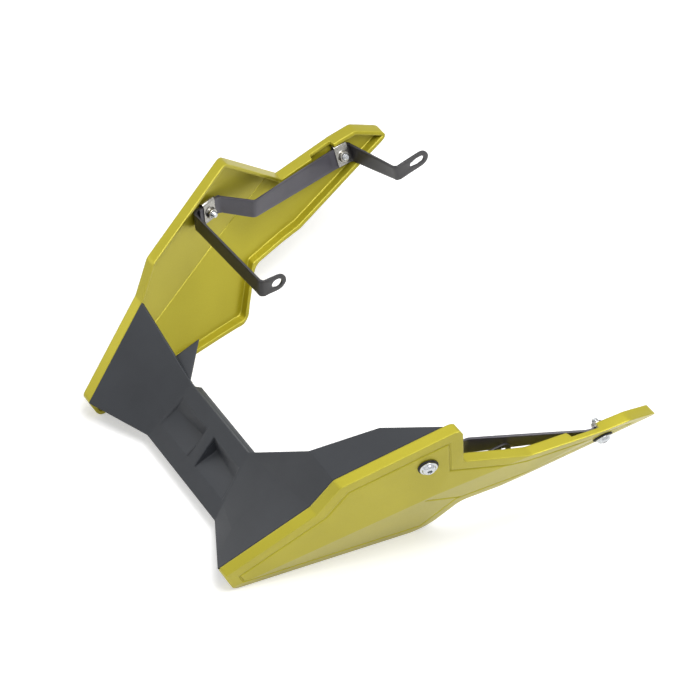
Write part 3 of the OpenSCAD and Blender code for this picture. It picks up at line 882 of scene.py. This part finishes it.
def fin(shape, side):
    """Pointed fin behind the waist, folded along the line from its crest to its point."""
    foot = on_waist(WAIST_HALF + FIN_FROM_WAIST, WAIST_RUN)
    heel = on_waist(waist_fold(WAIST_RUN) + 1, WAIST_RUN) - Vector((0, 1, 2))
    crest = foot - Vector((0, 1, 1))
    brim = crest + Vector((FIN_W, 0, 0))
    point = crest + Vector((FIN_W, FIN_BACK, FIN_RISE))
    part = bmesh.new()
    a, b, c, d = (part.verts.new((q.x * side, q.y, q.z)) for q in (heel, crest, brim, point))
    part.faces.new((a, b, d))
    part.faces.new((b, c, d))
    thicken(part, Vector((FIN_T * side, 0, -FIN_T)))
    soften(part, bent_edges(part, 40), PLATE_ROUND, 2)
    added(shape, part)


def press_scoops(shape):
    """Scoops that are deep beside the rib between them and shallow at their outer ends."""
    up_slope = Vector((0, math.cos(WAIST_SLOPE), math.sin(WAIST_SLOPE)))
    inwards = Vector((0, math.sin(WAIST_SLOPE), -math.cos(WAIST_SLOPE)))
    outer = waist_fold(SCOOP_DEEPEST)
    for side in (-1, 1):
        shape.normal_update()
        middle = on_waist(side * (RIB_HALF + outer) / 2, (SCOOP_FOOT + SCOOP_TOP) / 2)
        floor_face = min(shape.faces, key=lambda f: (f.calc_center_median() - middle).length)
        cell = [floor_face] + inset(shape, floor_face, SCOOP_RIM)
        for v in cut(shape, on_waist(0, SCOOP_DEEPEST), up_slope, cell):
            if isinstance(v, bmesh.types.BMVert) and RIB_HALF + 1 < abs(v.co.x) < outer - SCOOP_MARGIN - 1:
                v.co += inwards * (SCOOP_DEPTH if abs(v.co.x) < WAIST_HALF / 2 else SCOOP_END)


def centre_panel():
    shape = bmesh.new()
    nose, brow, step, peak = (Vector(p) for p in (NOSE, BROW, STEP, PEAK))
    cheek = [on_waist(waist_fold(0), 0), run_end(nose, INBOARD), run_end(brow, INBOARD),
             on_waist(waist_fold(WAIST_RUN), WAIST_RUN)]
    rows = []
    for up in (0, SCOOP_FOOT, SCOOP_TOP, WAIST_RUN):
        right = [between(cheek, u, up / WAIST_RUN) for u in ACROSS]
        edge = waist_fold(up) - SCOOP_MARGIN
        middle = [on_waist(x, up) for x in (-edge, -RIB_HALF, RIB_HALF, edge)]
        left = [Vector((-p.x, p.y, p.z)) for p in reversed(right)]
        rows.append([shape.verts.new(p) for p in left + middle + right])
    quilt(shape, rows)
    # The wing grows from the top edge of the left cheek
    tip = step.lerp(peak, WING_TIP)
    inner_tip = step.lerp(peak, WING_INNER_TIP)
    wing = [Vector((outer_x(*step) - RIM_DEPTH - WING_REACH, *step)), run_end(step, INBOARD),
            run_end(tip, INBOARD), Vector((outer_x(*inner_tip) - WING_REACH, *inner_tip))]
    quilt(shape, [rows[-1][-len(ACROSS):]]
          + [[shape.verts.new(inner.lerp(outer, u)) for u in ACROSS]
             for inner, outer in ((wing[0], wing[1]), (wing[3], wing[2]))])
    press_scoops(shape)
    shape.normal_update()
    outward(shape)
    soften(shape, bent_edges(shape, 8), SHEET_ROUND, 2)
    thicken(shape, DOWN * SHEET_T)
    # A flange stiffens the top edge of the middle
    plate(shape, [[on_waist(x, WAIST_RUN - SHEET_T - 0.5, out)
                   for x in (FLANGE_INSET - WAIST_HALF, WAIST_HALF - FLANGE_INSET)]
                  for out in (-1, -FLANGE_DEPTH)], on_waist(0, SHEET_T) - on_waist(0, 0))
    for side in (-1, 1):
        tongue(shape, cheek, (nose, brow), 0.12, 0.96, side)
        for at in JOINT_HOLES:
            joint_tab(shape, at, side)
        fin(shape, side)
    tongue(shape, wing, (step, tip), 0.08, 0.9, 1)
    finished("centre_panel", "_moulding", shape, 30)


centre_panel()


# Straps: pressed strip steel with an end plate at each end. A strip is laid as a sheet along its
# middle, its bends are rounded, and then it gets its thickness.

STRAP_T = 2.0
# Lines along a strap, across its width
LANES = (-9, -6, -3, 0, 3, 6, 9)
EDGE = LANES[-1]
END_SPARE = 0.4
# Depth below the outer surface of the outer side of the brackets and the link straps
BRACKET_IN = 4.0
LINK_IN = 6.1
PANEL_HOLE = 6.6
BOLT_HOLE = 10.0
SLOT_W = 9
SLOT_STRETCH = 6
TWIST_STEPS = 14
# Two ways up that agree by more than this need no twist between them
SAME_WAY = 0.9999
BEND_ROUND = 2.5
STRAP_ROUND = 0.3
UPWARD = Vector((0, 0, 1))
FORWARD = Vector((0, -1, 0))
# Middles of the bracket tabs, the left one and the knee of the links by their depth in the panel
RIGHT_TAB = Vector((77, 172, 104))
REAR_TAB = Vector((150, 367, 93.5))
REAR_TAB_TILT = math.radians(14)
LEFT_TAB = (228, 97)
LEFT_TAB_IN = 14.5
LEFT_BEND_BACK = 22
LEFT_BEND_DOWN = 19
KNEE = (203, 106)
KNEE_IN = 23.9


def axes(face):
    """Outward, rearward and upward directions of a panel face."""
    out = Vector((1, -slope(face[1]), -slope(face[2]))).normalized()
    back = Vector((math.sin(math.radians(face[1])), math.cos(math.radians(face[1])), 0))
    return out, back, out.cross(back)


def behind_wall(face, at, depth):
    """Middle of a strap that lies on the inside of a face, behind a hole."""
    return Vector((outer_x(*at), *at)) - axes(face)[0] * (depth + STRAP_T / 2)


def end_plate(shape, centre, along, up, reach, bore, tail=None, stretch=0.0):
    """Plate with a hole, reach mm long on the strip's side. Returns the row that joins the strip.

    It ends square, tail mm past the hole, or round where no tail is given.
    """
    rim = [(reach, w) for w in LANES] + [(reach / 2, EDGE), (0, EDGE)]
    if tail is None:
        turns = [math.radians(a) for a in range(105, 256, 15)]
        rim += [(EDGE * math.cos(t) - stretch / 2 - END_SPARE, EDGE * math.sin(t)) for t in turns]
    else:
        rim += [(-tail, w) for w in (EDGE, EDGE / 2, 0, -EDGE / 2, -EDGE)]
    rim += [(0, -EDGE), (reach / 2, -EDGE)]
    outer, inner = [], []
    for run, wide in rim:
        shift = math.copysign(stretch / 2, run) if abs(run) > NEAR else 0
        ray = Vector((run, wide)).normalized() * bore / 2
        outer.append(shape.verts.new(centre + along * run + up * wide))
        inner.append(shape.verts.new(centre + along * (ray.x + shift) + up * ray.y))
    for i in range(len(rim)):
        shape.faces.new((outer[i - 1], outer[i], inner[i], inner[i - 1]))
    return outer[:len(LANES)]


def thicken_both_ways(shape):
    """Gives a bent sheet its thickness, half to each side and even round its bends."""
    def spot(vert):
        return tuple(round(c, 4) for c in vert.co)

    shape.normal_update()
    ways = {v: v.normal * v.calc_shell_factor() * STRAP_T / 2 for v in shape.verts}
    sheet = {spot(v): v for v in ways}
    grown = bmesh.ops.extrude_face_region(shape, geom=shape.faces[:], use_keep_orig=True)
    for v in new_verts(grown):
        v.co += ways[sheet[spot(v)]]
    for v, way in ways.items():
        v.co -= way
    outward(shape)


def strap(name, first, knees, last, side):
    """A strip between two end plates. knees are places on its way, each with its way up."""
    shape = bmesh.new()
    start = end_plate(shape, **first)
    finish = end_plate(shape, **last)
    joins = [(end["centre"] + end["along"] * end["reach"], end["up"]) for end in (first, last)]
    path = joins[:1] + knees + joins[1:]
    rows = [start]
    for (here, up), (there, next_up) in zip(path, path[1:]):
        steps = 1 if up.dot(next_up) > SAME_WAY else TWIST_STEPS
        for k in range(1, steps + 1):
            wide = up.lerp(next_up, k / steps).normalized()
            rows.append([shape.verts.new(here.lerp(there, k / steps) + wide * w) for w in LANES])
    bmesh.ops.delete(shape, geom=rows.pop(), context="VERTS")
    quilt(shape, rows + [finish])
    outward(shape)
    soften(shape, bent_edges(shape, 14), BEND_ROUND, 3)
    outward(shape)
    thicken_both_ways(shape)
    soften(shape, bent_edges(shape, 60), STRAP_ROUND, 2)
    to_side(shape, side)
    finished(name, "_pressed", shape, 40)


def straps():
    fore_back, fore_up = axes(UPPER)[1:]
    aft_back, aft_up = axes(TAIL)[1:]
    front = dict(centre=behind_wall(UPPER, FRONT_HOLE, BRACKET_IN), up=fore_up, bore=PANEL_HOLE, tail=11)
    rear = dict(centre=behind_wall(TAIL, REAR_HOLE, BRACKET_IN), up=aft_up, bore=PANEL_HOLE, tail=11)
    tab = dict(along=FORWARD, up=UPWARD, bore=BOLT_HOLE)
    strap("right_front_bracket", dict(front, along=-fore_back, reach=16), [],
          dict(tab, centre=RIGHT_TAB, reach=15), -1)
    bend = (behind_wall(UPPER, FRONT_HOLE, BRACKET_IN + 0.2) + fore_back * LEFT_BEND_BACK
            - fore_up * LEFT_BEND_DOWN)
    left_tab = Vector((outer_x(*LEFT_TAB) - LEFT_TAB_IN, *LEFT_TAB))
    strap("left_front_bracket", dict(front, along=fore_back, reach=12), [(bend, UPWARD)],
          dict(tab, centre=left_tab, reach=16), 1)
    rise = Vector((0, math.cos(REAR_TAB_TILT), math.sin(REAR_TAB_TILT)))
    strap("right_rear_bracket", dict(rear, along=aft_back, reach=10), [],
          dict(centre=REAR_TAB, along=-rise, up=Vector((0, -rise.z, rise.y)), reach=22, bore=SLOT_W,
               stretch=SLOT_STRETCH), -1)
    knee = (Vector((outer_x(*KNEE) - KNEE_IN, *KNEE)), Vector((0.1, 0.1, 1)).normalized())
    fore_end = dict(front, centre=behind_wall(UPPER, FRONT_HOLE, LINK_IN), along=fore_back, reach=13)
    aft_end = dict(rear, centre=behind_wall(TAIL, REAR_HOLE, LINK_IN), along=-aft_back, reach=13, tail=7)
    for side, hand in ((1, "left"), (-1, "right")):
        strap(hand + "_link_strap", fore_end, [knee], aft_end, side)


straps()


# Camera: solved from the photograph's own corners

DISTANCE = 2.3
AZIMUTH = math.radians(55.705)
ELEVATION = math.radians(46.863)
ROLL = math.radians(1.665)
# The middle of the picture, in mm from the frame's origin
SHIFT_RIGHT = 8.37
SHIFT_UP = 54.058
MM_PER_PIXEL = 0.874
PICTURE_SIZE = 700
SENSOR = 36.0

back = Vector((math.sin(AZIMUTH) * math.cos(ELEVATION), -math.cos(AZIMUTH) * math.cos(ELEVATION),
               math.sin(ELEVATION)))
level = Vector((math.cos(AZIMUTH), math.sin(AZIMUTH), 0.0))
upright = back.cross(level)
right = level * math.cos(ROLL) + upright * math.sin(ROLL)
top = upright * math.cos(ROLL) - level * math.sin(ROLL)
eye = back * DISTANCE + right * SHIFT_RIGHT * MM + top * SHIFT_UP * MM
lens = bpy.data.cameras.new("camera")
lens.sensor_width = SENSOR
lens.lens = SENSOR * DISTANCE / (MM_PER_PIXEL * MM) / PICTURE_SIZE
lens.clip_end = 50.0
camera = bpy.data.objects.new("camera", lens)
camera.matrix_world = Matrix.Translation(eye) @ Matrix((right, top, back)).transposed().to_4x4()
scene.collection.objects.link(camera)
scene.camera = camera


# Floor, world and lamps: a white sweep that keeps the object's shadow

# Half the floor's width in metres, and its distance below the lowest point in mm
FLOOR_HALF = 6.0
FLOOR_GAP = 0.2


def white_floor():
    m = blank("white_studio_floor")
    white = add(m, "BsdfDiffuse", {"Color": linear("#e4e4e4")})
    # What the camera and the gloss see of the floor is lifted to white
    lift = add(m, "Math", {0: seen_directly(m), 1: 0.42}, operation="MULTIPLY")
    glow = add(m, "Emission", {"Color": linear("#ffffff"), "Strength": lift.outputs["Value"]})
    both = add(m, "AddShader", {0: white.outputs["BSDF"], 1: glow.outputs["Emission"]})
    add(m, "OutputMaterial", {"Surface": both.outputs["Shader"]})
    return m


floor_mesh = bpy.data.meshes.new("floor")
sweep = bmesh.new()
bmesh.ops.create_grid(sweep, x_segments=1, y_segments=1, size=FLOOR_HALF,
                      matrix=Matrix.Translation((0, 0, cad_box[0][2] - FLOOR_GAP * MM)))
sweep.to_mesh(floor_mesh)
sweep.free()
floor = bpy.data.objects.new("floor", floor_mesh)
floor.data.materials.append(white_floor())
scene.collection.objects.link(floor)

world = bpy.data.worlds.new("studio")
world.use_nodes = True
world.node_tree.nodes.clear()
scene.world = world
strength = add(world, "MapRange", {"Value": seen_directly(world), "To Min": 0.35, "To Max": 1.0})
sky = add(world, "Background", {"Color": linear("#ffffff"), "Strength": strength.outputs["Result"]})
add(world, "OutputWorld", {"Surface": sky.outputs["Background"]})


def softbox(name, place, size, power):
    """A square lamp, size metres wide, that faces the middle of the object."""
    lamp = bpy.data.lights.new(name, "AREA")
    lamp.size = size
    lamp.energy = power
    holder = bpy.data.objects.new(name, lamp)
    aim = Vector(place) - Vector((0, 0, 0.06))
    holder.matrix_world = Matrix.Translation(place) @ aim.to_track_quat("Z", "Y").to_matrix().to_4x4()
    scene.collection.objects.link(holder)


softbox("overhead", (0.4, 0.3, 1.85), 1.3, 38.0)
softbox("front", (1.0, -1.6, 1.2), 1.2, 2.5)
softbox("side", (-1.4, -0.9, 1.0), 1.2, 5.0)

scene.view_settings.view_transform = "Standard"
